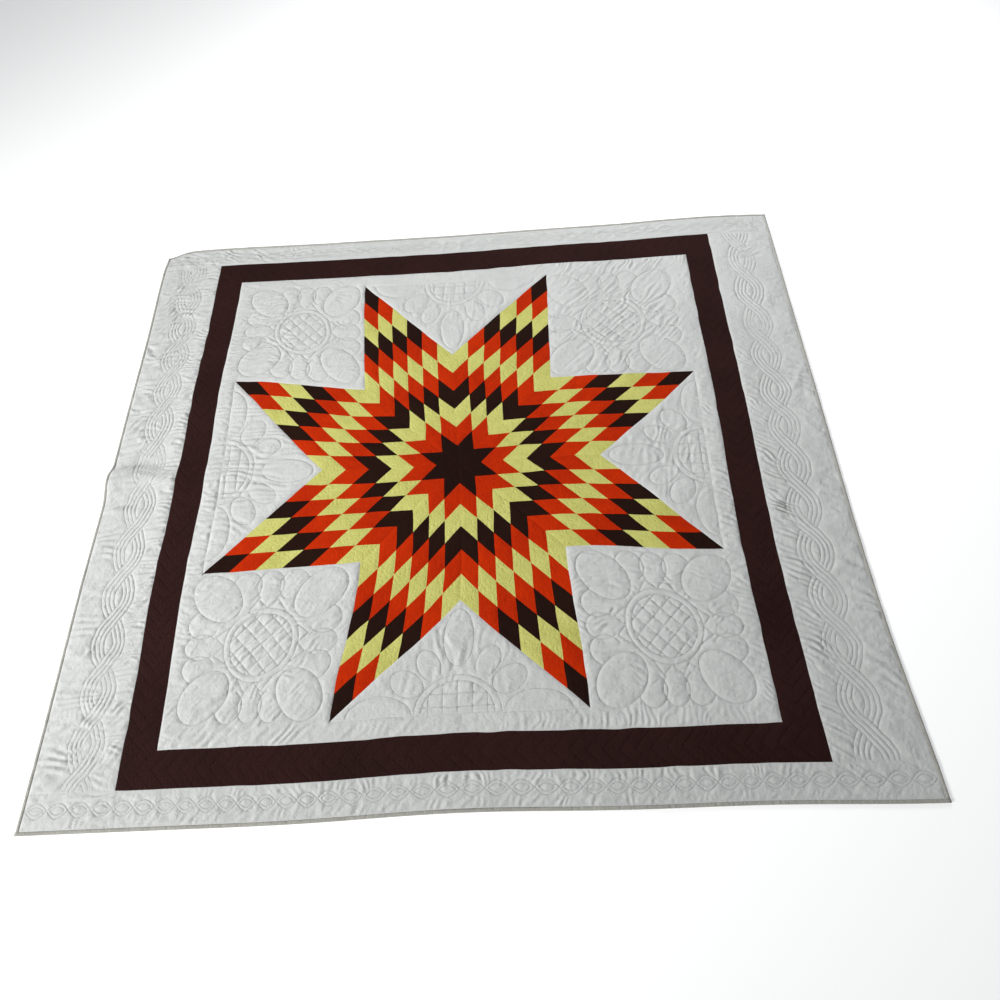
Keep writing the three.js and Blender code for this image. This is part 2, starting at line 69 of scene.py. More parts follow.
# The quilt is thrown out on the floor and pulled roughly straight, so its seams lie out of true.
# Pulls: x, y of the place, how far it reaches, and how far it shifts in x and in y.
PULLS = {
    "star point, right upper": (740, 300, 320, 4, -13),
    "star point, top right": (300, 740, 320, -10, 17),
    "star point, top left": (-300, 740, 320, -48, 11),
    "star point, left upper": (-740, 300, 320, -32, 55),
    "star point, left lower": (-740, -300, 320, -27, -14),
    "star point, bottom left": (-300, -740, 320, -50, -4),
    "star point, bottom right": (300, -740, 320, 16, -6),
    "star point, right lower": (740, -300, 320, -11, -23),
    "notch, top": (0, 430, 320, -31, -14),
    "notch, bottom left": (-300, -300, 320, 28, -13),
    "notch, bottom": (0, -430, 320, -14, -10),
    "notch, bottom right": (300, -300, 320, -16, 21),
    "ring of the star, right": (270, 110, 320, -25, -1),
    "ring of the star, left upper": (-270, 110, 320, -6, -31),
    "ring of the star, left lower": (-270, -110, 320, -14, 30),
    "brown corner, top left": (-880, 880, 320, -28, 14),
    "brown corner, bottom right": (880, -880, 320, -16, 2),
    "quilt corner, bottom right": (1110, -970, 320, 33, -16),
    "brown corner, top right": (880, 880, 320, 7, 23),
    "brown band, bottom": (0, -880, 320, -9, 13),
    "quilt corner, top left, tucked down": (-1107, 971, 58, 4, -27),
}
STRETCH_X = (-0.0035, 0.0133)
STRETCH_Y = (-0.0021, -0.0022)


def pulled(x, y):
    """Where a point of the true layout lies once the quilt is laid, before it is centred."""
    out_x = x + STRETCH_X[0] * x + STRETCH_X[1] * y
    out_y = y + STRETCH_Y[0] * x + STRETCH_Y[1] * y
    for at_x, at_y, reach, shift_x, shift_y in PULLS.values():
        share = np.exp(-((x - at_x) ** 2 + (y - at_y) ** 2) / reach ** 2)
        out_x = out_x + shift_x * share
        out_y = out_y + shift_y * share
    return out_x, out_y


EDGE_POINTS = 97
edge_run = np.linspace(-1, 1, EDGE_POINTS)
edge_end = np.ones(EDGE_POINTS)
edge_x, edge_y = pulled(QUILT_HALF_X * np.concatenate([edge_run, edge_run, edge_end, -edge_end]),
                        QUILT_HALF_Y * np.concatenate([edge_end, -edge_end, edge_run, edge_run]))
MIDDLE_X = (edge_x.min() + edge_x.max()) / 2
MIDDLE_Y = (edge_y.min() + edge_y.max()) / 2

# The fold left standing at the left edge: outer end, inner end, its line, height at both ends, how
# far it reaches towards and away from the near edge, and where the hollow under it closes
FOLD = {"x0": -1107, "x1": -420, "y": 4, "high": 16, "low": 1, "near": 94, "far": 54, "hollow_to": -737}


def crest(x, y):
    """Height of the standing fold over the floor."""
    along = np.clip((FOLD["x1"] - x) / (FOLD["x1"] - FOLD["x0"]), 0, 1)
    off = y - FOLD["y"]
    across = np.clip(np.where(off > 0, off / FOLD["far"], -off / FOLD["near"]), 0, 1)
    height = np.where(along > 0, FOLD["low"] + (FOLD["high"] - FOLD["low"]) * along ** 2, 0)
    return height * np.cos(across * math.pi / 2) ** 2


def underside(x, y):
    """Height of the back cloth: it follows the fold near the edge and lies on the floor further in."""
    share = np.clip((FOLD["hollow_to"] - x) / (BROWN_HALF - STAR_HALF), 0, 1)
    return crest(x, y) * share


SWELL_CELLS = 128
SWELL_START = 5 * SWELL_CELLS


def swell(x, y, length, width, heading, seed):
    """Uneven swell from -1 to 1, its waves about so long and so wide, running along the heading."""
    marks = np.random.default_rng(seed).uniform(-1, 1, (SWELL_CELLS, SWELL_CELLS))
    turn = math.radians(heading)
    u = (x * math.cos(turn) + y * math.sin(turn)) / length + SWELL_START
    v = (y * math.cos(turn) - x * math.sin(turn)) / width + SWELL_START
    i, j = np.floor(u).astype(int), np.floor(v).astype(int)
    s, t = u - i, v - j
    s, t = s * s * (3 - 2 * s), t * t * (3 - 2 * t)
    i, j = i % SWELL_CELLS, j % SWELL_CELLS
    k, m = (i + 1) % SWELL_CELLS, (j + 1) % SWELL_CELLS
    near = marks[i, j] * (1 - s) + marks[k, j] * s
    far = marks[i, m] * (1 - s) + marks[k, m] * s
    return near * (1 - t) + far * t


# How far seams waver, how far from the edge that starts, over how far it grows, and how much further
# out the side edges lie than the end ones
WAVER, WAVER_MARGIN, WAVER_GROWTH, WIDER = 1.5, 40, 60, 136


def wavered(x, y):
    """A laid point after the small wavering of hand cut and sewn seams."""
    out = np.maximum(np.abs(y), np.abs(x) - WIDER)
    most = WAVER * np.clip((QUILT_HALF_Y - WAVER_MARGIN - out) / WAVER_GROWTH, 0, 1)
    return x + most * swell(x, y, 60, 45, 0, seed=8), y + most * swell(x, y, 45, 60, 0, seed=9)


# Single folds and troughs: both ends as laid, half width, height
CREASES = {
    "fold in a petal, bottom left": (-735, -705, -640, -630, 13, 3.4),
    "trough beside it": (-722, -722, -630, -650, 9, -1.4),
    "fold in the next petal": (-478, -700, -430, -640, 11, 1.8),
    "fold in a petal, top left": (-492, 665, -412, 722, 10, 2.4),
    "trough across the left border": (-1090, -702, -905, -698, 7, -2.4),
    "ridge above it": (-1100, -650, -930, -668, 14, 2.2),
    "left border, lower folds": (-1110, -520, -960, -556, 11, 2.6),
    "left border, middle fold": (-1110, -330, -1000, -372, 12, 2.6),
    "left border, under the fold": (-1100, -130, -930, -90, 13, 2.4),
    "left border, over the fold": (-1100, 160, -990, 150, 12, 2.6),
    "left border, upper fold": (-1100, 470, -1010, 462, 11, 3.0),
    "left border, top": (-1090, 760, -930, 730, 15, 2.6),
    "corner crease, top left": (-1060, 960, -960, 850, 12, 3.0),
    "right border, forked fold": (1000, -612, 1096, -640, 13, 3.6),
    "right border, second arm": (1008, -640, 1080, -692, 11, 3.2),
    "right border, third arm": (1010, -706, 1095, -676, 10, 2.6),
    "right border, low fold": (1000, -770, 1090, -800, 15, 2.4),
    "right border, upper fold": (1020, 190, 1084, 268, 11, 2.8),
    "right border, trough": (1045, 160, 1075, 196, 9, -1.8),
    "right border, bulge by the cable": (1012, -200, 1030, -130, 13, 2.4),
    "right border, lower bulge": (1006, -420, 1030, -360, 13, 2.2),
    "crease under the star": (-90, -500, -34, -640, 7, -2.0),
    "fold beside it": (-70, -520, -16, -640, 10, 1.6),
    "crease by the right triangle": (560, 60, 600, -90, 8, -1.5),
    "fold in the top right square": (560, 440, 640, 560, 11, 2.2),
    "lower fold, top right square": (380, 470, 470, 520, 12, 2.0),
    "standing fold, its crest": (-1107, -10, -860, 2, 18, 5.0),
    "standing fold, its far foot": (-1107, 58, -870, 48, 15, -3.6),
    "near border, lifted": (-120, -962, 140, -968, 22, 3.0),
}
# How wide a crease spreads, how far and how often it wanders, and how its ends taper
SPREAD, WANDER, TURNS, TAPER = 1.6, 0.5, 7, 0.7


def creases(x, y):
    """Height of the single folds and troughs at a laid point."""
    height = np.zeros(x.shape)
    for x0, y0, x1, y1, half_width, rise in CREASES.values():
        run_x, run_y = x1 - x0, y1 - y0
        share = ((x - x0) * run_x + (y - y0) * run_y) / (run_x ** 2 + run_y ** 2)
        along = np.clip(1 - np.abs(share - 0.5) * SPREAD, 0, 1)
        wander = half_width * WANDER * np.sin(share * TURNS + x0)
        off = ((x - x0) * run_y - (y - y0) * run_x) / math.hypot(run_x, run_y) + wander
        across = np.clip(1 - np.abs(off) / (half_width * SPREAD), 0, 1)
        height += rise * along ** TAPER * across ** 2 * (3 - 2 * across)
    return height


# Thickness at a seam, and the distance that marks a point as far from any stitch
SHEET = 4.4
STITCH_NONE = 99.0


def cloth_grid(columns, rows):
    """A flat grid one unit square with a corner at the origin."""
    shell = bmesh.new()
    bmesh.ops.create_grid(shell, x_segments=columns, y_segments=rows, size=0.5)
    bmesh.ops.translate(shell, verts=shell.verts, vec=(0.5, 0.5, 0))
    return shell


def sewn_through(shell, lines, pitch):
    """Finds how far each point lies from the nearest quilting line and where along it, and draws
    points that lie close to a line onto it."""
    count = len(shell.verts)
    points = np.array([v.co.to_tuple() for v in shell.verts])[:, :2]
    distance = np.full(count, STITCH_NONE)
    along = np.zeros(count)
    if not lines:
        return distance, along
    starts, runs, headings = [], [], []
    for line in lines:
        step = np.diff(line, axis=0)
        length = np.hypot(step[:, 0], step[:, 1])
        starts.append(line[:-1])
        runs.append(np.concatenate([[0], np.cumsum(length)[:-1]]))
        headings.append(step / length[:, None])
    starts, runs, headings = np.concatenate(starts), np.concatenate(runs), np.concatenate(headings)
    tree = KDTree(len(starts))
    for index, (x, y) in enumerate(starts):
        tree.insert((x, y, 0), index)
    tree.balance()
    found = np.array([tree.find((x, y, 0))[1] for x, y in points])
    away = points - starts[found]
    heading = headings[found]
    forward = (away * heading).sum(1)
    aside = away[:, 0] * heading[:, 1] - away[:, 1] * heading[:, 0]
    past_end = np.maximum(np.abs(forward) - STITCH_STEP, 0)
    distance = np.hypot(aside, past_end)
    along = runs[found] + forward
    rim = np.array([v.is_boundary for v in shell.verts])
    drawn = (np.abs(aside) < pitch / 2) & (past_end == 0) & ~rim
    foot = points - aside[:, None] * np.stack([heading[:, 1], -heading[:, 0]], 1)
    for vert, on, (x, y) in zip(shell.verts, drawn, foot):
        vert.tag = bool(on)
        if on:
            vert.co.x, vert.co.y = x, y
    distance[drawn] = 0
    for face in list(shell.faces):
        corners = list(face.verts)
        if len(corners) == 4:
            tags = [v.tag for v in corners]
            if tags[0] and tags[2] and not (tags[1] or tags[3]):
                bmesh.utils.face_split(face, corners[0], corners[2])
            elif tags[1] and tags[3] and not (tags[0] or tags[2]):
                bmesh.utils.face_split(face, corners[1], corners[3])
    return distance, along


STITCH_STEP = 1.2
BACK_MARK = -50.0
# The least thickness, and how softly a trough stops at it
THINNEST = 1.4
THIN_EASE = 0.5
# Mean and range of the puff between lines, and how far seams and lines calm the ripples beside them
PUFF_MEAN, PUFF_RANGE = 0.85, 0.3
SEAM_CALM, LINE_CALM, LINE_SHARE = 5, 2.5, 0.8


def quilted_piece(name, shell, lines, pitch, seam_distance, loft, reach, puckers,
                  materials, grain=0, pick=None):
    distance, along = sewn_through(shell, lines, pitch)
    points = np.array([v.co.to_tuple() for v in shell.verts])[:, :2]
    x, y = points[:, 0], points[:, 1]
    from_seam = seam_distance(x, y)
    rise = (1 - np.exp(-np.maximum(from_seam, 0) / reach)) * (1 - np.exp(-distance / reach))
    rise *= PUFF_MEAN + PUFF_RANGE * swell(x, y, 70, 50, 30, seed=4)
    for vert, z in zip(shell.verts, SHEET + loft * rise):
        vert.co.z = z
    loose = [v for v in shell.verts if not v.tag and not v.is_boundary]
    bmesh.ops.smooth_vert(shell, verts=loose, factor=0.5, use_axis_z=True)
    height = np.array([v.co.z for v in shell.verts])
    free = 1 - np.exp(-(np.maximum(from_seam, 0) / SEAM_CALM) ** 2)
    free = free * (1 - LINE_SHARE * np.exp(-(distance / LINE_CALM) ** 2))
    laid_x, laid_y = pulled(x, y)
    laid_x, laid_y = laid_x - MIDDLE_X, laid_y - MIDDLE_Y
    height = height + puckers(laid_x, laid_y) * free + creases(laid_x, laid_y)
    height = THINNEST + np.logaddexp(0, (height - THINNEST) / THIN_EASE) * THIN_EASE
    rim = [e for e in shell.edges if e.is_boundary]
    for edge in rim:
        edge.smooth = False
    for face in shell.faces:
        middle = face.calc_center_median()
        face.material_index = pick(middle.x, middle.y) if pick else 0
        face.smooth = True
    away = shell.verts.layers.float.new("stitch_distance")
    run = shell.verts.layers.float.new("stitch_along")
    for vert, off, at, z in zip(shell.verts, distance, along, height):
        vert[away], vert[run], vert.co.z = off, at, z
    extruded = bmesh.ops.extrude_edge_only(shell, edges=rim)["geom"]
    lower_rim = [e for e in shell.edges if e.is_boundary]
    for vert in (g for g in extruded if isinstance(g, bmesh.types.BMVert)):
        vert[away], vert.co.z = STITCH_NONE, BACK_MARK
    back = bmesh.ops.contextual_create(shell, geom=lower_rim)["faces"]
    for face in back:
        face.material_index = len(materials) - 1
    bmesh.ops.triangulate(shell, faces=back)
    bmesh.ops.recalc_face_normals(shell, faces=shell.faces)
    shell.verts.index_update()
    mesh = bpy.data.meshes.new(name)
    shell.to_mesh(mesh)
    shell.free()
    total = len(mesh.vertices)
    co = np.empty(total * 3, np.float32)
    mesh.vertices.foreach_get("co", co)
    co = co.reshape(-1, 3).astype(float)
    flat_x, flat_y = co[:, 0].copy(), co[:, 1].copy()
    laid_x, laid_y = wavered(*pulled(flat_x, flat_y))
    z = np.where(co[:, 2] > BACK_MARK / 2, crest(flat_x, flat_y) + co[:, 2], underside(flat_x, flat_y))
    laid = np.stack([laid_x - MIDDLE_X, laid_y - MIDDLE_Y, z], 1) / MM
    mesh.vertices.foreach_set("co", laid.astype(np.float32).ravel())
    corner = np.empty(len(mesh.loops), np.int32)
    mesh.loops.foreach_get("vertex_index", corner)
    turn = math.radians(grain)
    u = (flat_x * math.cos(turn) + flat_y * math.sin(turn)) / MM
    v = (flat_y * math.cos(turn) - flat_x * math.sin(turn)) / MM
    uv = np.stack([u[corner], v[corner]], 1).astype(np.float32)
    mesh.uv_layers.new(name="grain").data.foreach_set("uv", uv.ravel())
    for material in materials:
        mesh.materials.append(material)
    piece = bpy.data.objects.new(f"quilted_{name}", mesh)
    bpy.context.collection.objects.link(piece)
    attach(piece, "root")
    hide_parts(name)
    return piece


def node_group(name, inputs, outputs):
    """An empty shader node group. An input without a value is a vector, the rest are numbers."""
    group = bpy.data.node_groups.new(name, "ShaderNodeTree")
    for label, value in inputs:
        kind = "NodeSocketVector" if value is None else "NodeSocketFloat"
        socket = group.interface.new_socket(label, in_out="INPUT", socket_type=kind)
        if value is not None:
            socket.default_value = value
    for label in outputs:
        group.interface.new_socket(label, in_out="OUTPUT", socket_type="NodeSocketFloat")
    source = group.nodes.new("NodeGroupInput")
    sink = group.nodes.new("NodeGroupOutput")
    return group, source, sink


def sums(tree, operation, *values):
    """Adds a math node with the given values or links and returns its output."""
    node = tree.nodes.new("ShaderNodeMath")
    node.operation = operation
    for socket, value in zip(node.inputs, values):
        if isinstance(value, bpy.types.NodeSocket):
            tree.links.new(value, socket)
        else:
            socket.default_value = value
    return node.outputs[0]


def ramp(tree, value, low, high):
    """0 at or below low, 1 at or above high, smooth between. High may lie below low."""
    node = tree.nodes.new("ShaderNodeMapRange")
    node.interpolation_type = "SMOOTHSTEP"
    flipped = high < low
    tree.links.new(value, node.inputs["Value"])
    node.inputs["From Min"].default_value = high if flipped else low
    node.inputs["From Max"].default_value = low if flipped else high
    node.inputs["To Min"].default_value = 1 if flipped else 0
    node.inputs["To Max"].default_value = 0 if flipped else 1
    return node.outputs["Result"]


def mixed(tree, factor, first, second, kind="MIX"):
    """Mixes a color or link with a color."""
    node = tree.nodes.new("ShaderNodeMix")
    node.data_type = "RGBA"
    node.blend_type = kind
    tree.links.new(factor, node.inputs["Factor"])
    if isinstance(first, bpy.types.NodeSocket):
        tree.links.new(first, node.inputs["A"])
    else:
        node.inputs["A"].default_value = first
    node.inputs["B"].default_value = second
    return node.outputs["Result"]


def noise(tree, vector, scale, detail, squash=None):
    """Noise from 0 to 1 over the grain coordinates, which are in metres."""
    if squash:
        mapping = tree.nodes.new("ShaderNodeMapping")
        mapping.inputs["Scale"].default_value = squash
        tree.links.new(vector, mapping.inputs["Vector"])
        vector = mapping.outputs["Vector"]
    node = tree.nodes.new("ShaderNodeTexNoise")
    node.inputs["Scale"].default_value = scale
    node.inputs["Detail"].default_value = detail
    tree.links.new(vector, node.inputs["Vector"])
    return node.outputs["Fac"]


# Thread in metres, slubs by how often they come along and across a metre, heights in millimetres
THREAD = 0.0005
SLUBS = {"along": 60, "across": 900, "detail": 2.0, "Shade": 0.6, "Height": 0.12}
OVER_UNDER = {"Shade": 0.10, "Height": 0.05}


def plain_weave():
    """Cotton threads over and under each other, with slubs. Height is in millimetres."""
    group, source, sink = node_group(
        "plain weave", [("Grain", None), ("Thread", THREAD)], ["Shade", "Height"])
    split = group.nodes.new("ShaderNodeSeparateXYZ")
    group.links.new(source.outputs["Grain"], split.inputs[0])
    turns = sums(group, "DIVIDE", math.pi, source.outputs["Thread"])
    warp = sums(group, "SINE", sums(group, "MULTIPLY", split.outputs["X"], turns))
    weft = sums(group, "SINE", sums(group, "MULTIPLY", split.outputs["Y"], turns))
    over = sums(group, "MULTIPLY", warp, weft)
    along, across = SLUBS["along"], SLUBS["across"]
    slub_x = noise(group, source.outputs["Grain"], 1.0, SLUBS["detail"], (along, across, 1))
    slub_y = noise(group, source.outputs["Grain"], 1.0, SLUBS["detail"], (across, along, 1))
    slubs = sums(group, "SUBTRACT", sums(group, "ADD", slub_x, slub_y), 1.0)
    for output in ("Shade", "Height"):
        woven = sums(group, "MULTIPLY", over, OVER_UNDER[output])
        total = sums(group, "ADD", woven, sums(group, "MULTIPLY", slubs, SLUBS[output]))
        group.links.new(total, sink.inputs[output])
    return group


# In millimetres: a stitch and the gap after it, half the thread's width, where the ditch starts and
# where it is deepest, and how far the thread rises and the cloth sinks
PITCH = 5.0
HALF_WIDTH = 0.45
DITCH = (2.6, 0.3)
THREAD_RISE, HOLE_DEPTH, DITCH_DEPTH = 0.35, 0.4, 0.5
# In shares: the half stitch that shows, and the edges of thread and hole in half widths
SHOWN = (0.30, 0.22)
THREAD_EDGE = (1.3, 0.7)
HOLE_EDGE = (2.2, 0.8)


def running_stitch():
    """Hand quilting: a thread that dips in and out along the line that it draws into the cloth."""
    group, source, sink = node_group(
        "running stitch", [("Pitch", PITCH), ("Half width", HALF_WIDTH)], ["Thread", "Ditch", "Height"])
    away = group.nodes.new("ShaderNodeAttribute")
    away.attribute_name = "stitch_distance"
    run = group.nodes.new("ShaderNodeAttribute")
    run.attribute_name = "stitch_along"
    distance = away.outputs["Fac"]
    turn = sums(group, "FRACT", sums(group, "DIVIDE", run.outputs["Fac"], source.outputs["Pitch"]))
    middle = sums(group, "ABSOLUTE", sums(group, "SUBTRACT", turn, 0.5))
    shown = ramp(group, middle, *SHOWN)
    width = sums(group, "DIVIDE", distance, source.outputs["Half width"])
    thread = sums(group, "MULTIPLY", ramp(group, width, *THREAD_EDGE), shown)
    ditch = ramp(group, distance, *DITCH)
    hole = sums(group, "MULTIPLY", ramp(group, width, *HOLE_EDGE), sums(group, "SUBTRACT", 1.0, shown))
    group.links.new(thread, sink.inputs["Thread"])
    group.links.new(ditch, sink.inputs["Ditch"])
    sunk = sums(group, "ADD", sums(group, "MULTIPLY", hole, HOLE_DEPTH),
                sums(group, "MULTIPLY", ditch, DITCH_DEPTH))
    raised = sums(group, "SUBTRACT", sums(group, "MULTIPLY", thread, THREAD_RISE), sunk)
    group.links.new(raised, sink.inputs["Height"])
    return group


WEAVE = plain_weave()
STITCH = running_stitch()


# Noise per metre and its detail: washed tones, fine mottling and small crumples
TONES = (5.0, 3.0)
MOTTLING = (45.0, 3.0)
CRUMPLES = (75.0, 4.0)
CRUMPLE_DEPTH = 12
# How far the weave's tone and the painted shade in the stitch ditches darken the colour at most, and how
# strong that painted ditch shade is
DARKEST_WEAVE_AND_PAINTED_DITCH = (0.82, 0.82, 0.82, 1)
PAINTED_DITCH_SHADE = 0.45
ROUGHNESS = 0.9
ROUGHNESS_RANGE = 0.1


def cotton(name, color, shadow, thread=None, crumple=0.28, sheen=0.2, gloss=0.2):
    """Cotton cloth: color and shadow are the tones that it varies between, thread the sewing."""
    material = bpy.data.materials.new(name)
    material.use_nodes = True
    tree = material.node_tree
    tree.nodes.clear()
    output = tree.nodes.new("ShaderNodeOutputMaterial")
    shader = tree.nodes.new("ShaderNodeBsdfPrincipled")
    tree.links.new(shader.outputs["BSDF"], output.inputs["Surface"])
    grain = tree.nodes.new("ShaderNodeUVMap")
    grain.uv_map = "grain"
    weave = tree.nodes.new("ShaderNodeGroup")
    weave.node_tree = WEAVE
    tree.links.new(grain.outputs["UV"], weave.inputs["Grain"])
    stitch = tree.nodes.new("ShaderNodeGroup")
    stitch.node_tree = STITCH
    washed = noise(tree, grain.outputs["UV"], *TONES)
    fine = noise(tree, grain.outputs["UV"], *MOTTLING)
    tone = sums(tree, "ADD", sums(tree, "MULTIPLY", washed, 0.7), sums(tree, "MULTIPLY", fine, 0.3))
    colored = mixed(tree, ramp(tree, tone, 0.3, 0.7), (*shadow, 1), (*color, 1))
    # Painted shade: the colour is darkened along the stitch ditches, on top of the weave's tone
    sunk = sums(tree, "MULTIPLY", stitch.outputs["Ditch"], PAINTED_DITCH_SHADE)
    shade = sums(tree, "ADD", sums(tree, "MULTIPLY", weave.outputs["Shade"], 0.5), sunk)
    colored = mixed(tree, ramp(tree, shade, 0.0, 1.0), colored, DARKEST_WEAVE_AND_PAINTED_DITCH, "MULTIPLY")
    if thread:
        colored = mixed(tree, stitch.outputs["Thread"], colored, (*thread, 1))
    tree.links.new(colored, shader.inputs["Base Color"])
    rough = sums(tree, "MULTIPLY", fine, ROUGHNESS_RANGE)
    rough = sums(tree, "ADD", rough, ROUGHNESS - ROUGHNESS_RANGE / 2)
    tree.links.new(rough, shader.inputs["Roughness"])
    shader.inputs["Sheen Weight"].default_value = sheen
    shader.inputs["Sheen Roughness"].default_value = 0.5
    shader.inputs["Specular IOR Level"].default_value = gloss
    broken = sums(tree, "SUBTRACT", noise(tree, grain.outputs["UV"], *CRUMPLES), 0.5)
    crumpled = sums(tree, "MULTIPLY", sums(tree, "ABSOLUTE", broken), -CRUMPLE_DEPTH * crumple)
    height = sums(tree, "ADD", weave.outputs["Height"], crumpled)
    height = sums(tree, "ADD", height, stitch.outputs["Height"])
    bump = tree.nodes.new("ShaderNodeBump")
    bump.inputs["Distance"].default_value = 1 / MM
    tree.links.new(height, bump.inputs["Height"])
    tree.links.new(bump.outputs["Normal"], shader.inputs["Normal"])
    return material


back_cotton = cotton("back cotton", (0.57, 0.575, 0.56), (0.53, 0.535, 0.52))
brown_patch = cotton("brown patch cotton", (0.019, 0.007, 0.004), (0.012, 0.004, 0.003), crumple=0.3,
                     sheen=0.0, gloss=0.06)
orange_patch = cotton("orange patch cotton", (0.55, 0.028, 0.001), (0.42, 0.018, 0.001), crumple=0.35,
                      sheen=0.0, gloss=0.06)
yellow_patch = cotton("yellow patch cotton", (0.62, 0.61, 0.19), (0.50, 0.49, 0.13), crumple=0.5,
                      sheen=0.05, gloss=0.1)
star_cloths = [brown_patch, orange_patch, yellow_patch, back_cotton]

# Cloth of each ring of patches, counted from the middle of the star
BROWN, ORANGE, YELLOW = 0, 1, 2
RING_CLOTH = [BROWN, ORANGE, YELLOW, BROWN, ORANGE, YELLOW, ORANGE, BROWN, YELLOW, ORANGE, BROWN]
PATCH_CELLS = 12
PATCH_LOFT = 1.1
PATCH_REACH = 4


def star_lattice(index):
    """A small diamond's two sides, and the rows of the matrix that turns layout x, y into steps
    along them."""
    a, b = ((DIAMOND_SIDE * math.cos(k * ARM_TURN), DIAMOND_SIDE * math.sin(k * ARM_TURN))
            for k in (index, index + 1))
    across = a[0] * b[1] - a[1] * b[0]
    return a, b, ((b[1] / across, -b[0] / across), (-a[1] / across, a[0] / across))


def star_puckers(x, y):
    """Height of the patchwork's puckers at a laid point."""
    return 0.4 * swell(x, y, 40, 22, 20, seed=5) + 0.25 * swell(x, y, 14, 9, 70, seed=6)


for index in range(ARM_COUNT):
    side_a, side_b, steps = star_lattice(index)
    point = cloth_grid(ROWS * PATCH_CELLS, ROWS * PATCH_CELLS)
    shear = Matrix(((side_a[0] * ROWS, side_b[0] * ROWS, 0, 0),
                    (side_a[1] * ROWS, side_b[1] * ROWS, 0, 0), (0, 0, 1, 0), (0, 0, 0, 1)))
    bmesh.ops.transform(point, matrix=shear, verts=point.verts)

    def patch_seams(x, y):
        nearest = np.full(x.shape, STRIP_WIDTH)
        for row in steps:
            step = row[0] * x + row[1] * y
            nearest = np.minimum(nearest, np.abs(step - np.round(step)) * STRIP_WIDTH)
        return nearest

    def patch_cloth(x, y):
        ring = sum(min(max(int(row[0] * x + row[1] * y), 0), ROWS - 1) for row in steps)
        return RING_CLOTH[ring]

    quilted_piece(f"star_point_{index + 1}", point, [], DIAMOND_SIDE / PATCH_CELLS, patch_seams,
                  PATCH_LOFT, PATCH_REACH, star_puckers, star_cloths,
                  grain=math.degrees(index * ARM_TURN), pick=patch_cloth)


# Corner squares
# White cotton, quilted by hand with a flower: a cross-hatched middle in a double ring, four large
# petals towards the corners and three small ones towards each side.

white_cotton = cotton("white cotton", (0.595, 0.60, 0.59), (0.545, 0.55, 0.54), (0.62, 0.625, 0.615))

# Ripples where the cloth is pushed together: x and y of the middle as laid, reach in x and in y,
# heading of the ripples in degrees, how long and how wide each is, and how high
RIPPLES = {
    "top right square": (520, 560, 230, 240, 42, 44, 10, 1.9),
    "top right strip": (520, 790, 260, 60, 52, 34, 9, 1.8),
    "top left square": (-560, 560, 260, 260, 12, 34, 10, 1.1),
    "left triangle": (-700, 30, 150, 230, -3, 60, 11, 1.8),
    "left strip": (-800, -80, 60, 700, 4, 26, 8, 1.5),
    "bottom left square": (-560, -520, 260, 260, 33, 30, 9, 1.0),
    "bottom left strip": (-500, -780, 330, 45, 40, 36, 11, 2.2),
    "bottom right, by the star": (330, -480, 110, 260, 2, 40, 9, 1.5),
    "bottom right square": (540, -500, 180, 220, -4, 30, 8, 1.1),
    "right strip": (750, -260, 50, 560, -14, 28, 8, 1.6),
    "right triangle": (600, 30, 120, 180, 72, 40, 12, 1.0),
    "bottom triangle": (-30, -620, 190, 150, 78, 44, 13, 0.9),
    "bottom right strip": (330, -775, 300, 40, 86, 26, 9, 1.2),
    "top triangle": (-20, 620, 190, 120, 88, 30, 10, 0.8),
    "left border, by the band": (-920, 0, 42, 1300, 8, 30, 8, 2.1),
    "left border, by the edge": (-1080, 100, 55, 900, 14, 46, 13, 2.1),
    "left border, near end": (-1060, -760, 80, 260, 8, 44, 12, 1.7),
    "right border, by the band": (900, -330, 45, 620, -32, 34, 8, 2.3),
    "right border, far end": (1000, 800, 120, 180, 2, 30, 8, 1.2),
    "right border, by the edge": (1070, -250, 45, 700, -20, 50, 17, 2.2),
    "near border": (-150, -960, 900, 30, 50, 24, 9, 1.6),
    "near border, by the band": (300, -890, 900, 24, 84, 22, 9, 1.2),
    "far border": (0, 930, 1200, 60, 5, 60, 10, 2.0),
    "far border, top left": (-880, 930, 260, 60, -24, 30, 11, 2.4),
    "left border, far end": (-1010, 620, 130, 420, 24, 36, 11, 1.8),
    "top left square, left side": (-700, 560, 100, 240, 10, 30, 9, 1.4),
}
RIPPLE_PITCH = 2.1
# Swells of the whole face: height, length, width and heading in degrees
FACE_SWELLS = ((0.9, 22, 11, 15), (0.5, 10, 7, 60), (1.2, 80, 55, 40))
# A train of ripples: how much it bends, its strength, how that varies, its most, and the stray swell
BEND, STRENGTH, UNEVEN, STRONGEST, STRAY = 1.1, 0.8, 1.2, 1.7, 0.9


def ripples(x, y):
    """Height of the uneven ripples of the white cloth at a laid point."""
    height = np.zeros(x.shape)
    for seed, (rise, length, width, heading) in enumerate(FACE_SWELLS, 1):
        height += rise * swell(x, y, length, width, heading, seed)
    for seed, ripple in enumerate(RIPPLES.values()):
        at_x, at_y, reach_x, reach_y, heading, length, width, rise = ripple
        share = np.exp(-((x - at_x) / reach_x) ** 2 - ((y - at_y) / reach_y) ** 2)
        turn = math.radians(heading)
        across = (y * math.cos(turn) - x * math.sin(turn)) / (RIPPLE_PITCH * width)
        bend = BEND * swell(x, y, 1.5 * length, 4 * width, heading, 100 + seed)
        train = np.sin(2 * math.pi * (across + bend))
        uneven = UNEVEN * swell(x, y, 1.3 * length, 2.5 * width, heading, 200 + seed)
        strength = np.clip(STRENGTH + uneven, 0, STRONGEST)
        stray = STRAY * swell(x, y, length, width, heading, 300 + seed)
        height += rise * share * (train * strength + stray)
    return height


HUB_OUTER = 103
HUB_INNER = 86
HATCH_PITCH = 34
PETAL = {"distance": 196, "length": 80, "width": 58}
